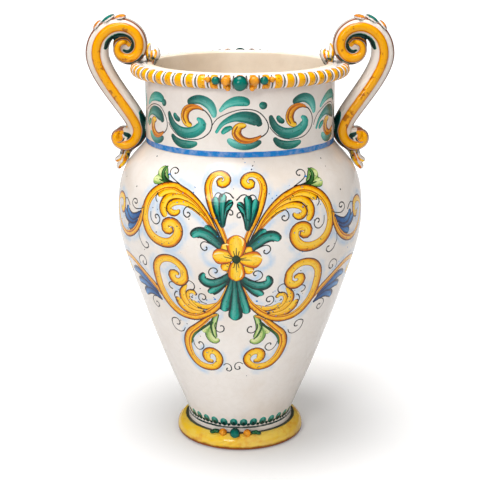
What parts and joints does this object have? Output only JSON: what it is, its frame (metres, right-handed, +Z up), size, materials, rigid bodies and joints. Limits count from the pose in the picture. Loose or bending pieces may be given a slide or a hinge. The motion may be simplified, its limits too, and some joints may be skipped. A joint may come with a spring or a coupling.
{
  "type": "ceramic jar",
  "caption": "Tall glazed earthenware jar with a hollow belly, straight neck, gadrooned rim, round foot and a scroll handle on each side.",
  "frame": {"origin": "centre of the foot ring's underside, on the surface the jar stands on", "axes": "+Z up along the jar's axis; -Y faces the front, where the painted flower is; the handles lie along X"},
  "size_m": [0.3098, 0.2514, 0.441],
  "materials": {
    "ivory_glaze": "glossy tin glaze with painted ornament",
    "yellow_glaze": "glossy tin glaze with painted ornament",
    "orange_glaze": "glossy tin glaze with painted ornament",
    "teal_glaze": "glossy tin glaze with painted ornament",
    "green_glaze": "glossy tin glaze with painted ornament"
  },
  "bodies": {
    "root": {"foot_ring": "yellow_glaze", "belly": "ivory_glaze", "neck_collar": "ivory_glaze", "rim_band": "yellow_glaze", "right_handle": "yellow_glaze", "right_lip_leaf": "orange_glaze", "right_shoulder_leaf": "orange_glaze", "right_scroll_bud": "orange_glaze", "right_handle_bead_1": "orange_glaze", "right_handle_bead_2": "teal_glaze", "right_handle_bead_3": "orange_glaze", "left_handle": "yellow_glaze", "left_lip_leaf": "orange_glaze", "left_shoulder_leaf": "orange_glaze", "left_scroll_bud": "orange_glaze", "left_handle_bead_1": "orange_glaze", "left_handle_bead_2": "teal_glaze", "left_handle_bead_3": "orange_glaze", "front_rim_bead_1": "teal_glaze", "front_rim_bead_2": "orange_glaze", "front_rim_bead_3": "orange_glaze", "front_rim_bead_4": "teal_glaze", "front_rim_bead_5": "teal_glaze", "front_rim_bead_6": "orange_glaze", "front_rim_bead_7": "orange_glaze", "front_rim_bead_8": "orange_glaze", "front_rim_bead_9": "orange_glaze", "front_rim_bead_10": "orange_glaze", "front_rim_bead_11": "orange_glaze", "front_foot_bead_1": "teal_glaze", "front_foot_bead_2": "orange_glaze", "front_foot_bead_3": "orange_glaze", "front_foot_leaf_left": "green_glaze", "front_foot_leaf_right": "green_glaze", "back_rim_bead_1": "teal_glaze", "back_rim_bead_2": "orange_glaze", "back_rim_bead_3": "orange_glaze", "back_rim_bead_4": "teal_glaze", "back_rim_bead_5": "teal_glaze", "back_rim_bead_6": "orange_glaze", "back_rim_bead_7": "orange_glaze", "back_rim_bead_8": "orange_glaze", "back_rim_bead_9": "orange_glaze", "back_rim_bead_10": "orange_glaze", "back_rim_bead_11": "orange_glaze", "back_foot_bead_1": "teal_glaze", "back_foot_bead_2": "orange_glaze", "back_foot_bead_3": "orange_glaze", "back_foot_leaf_left": "green_glaze", "back_foot_leaf_right": "green_glaze"}
  },
  "joints": []
}
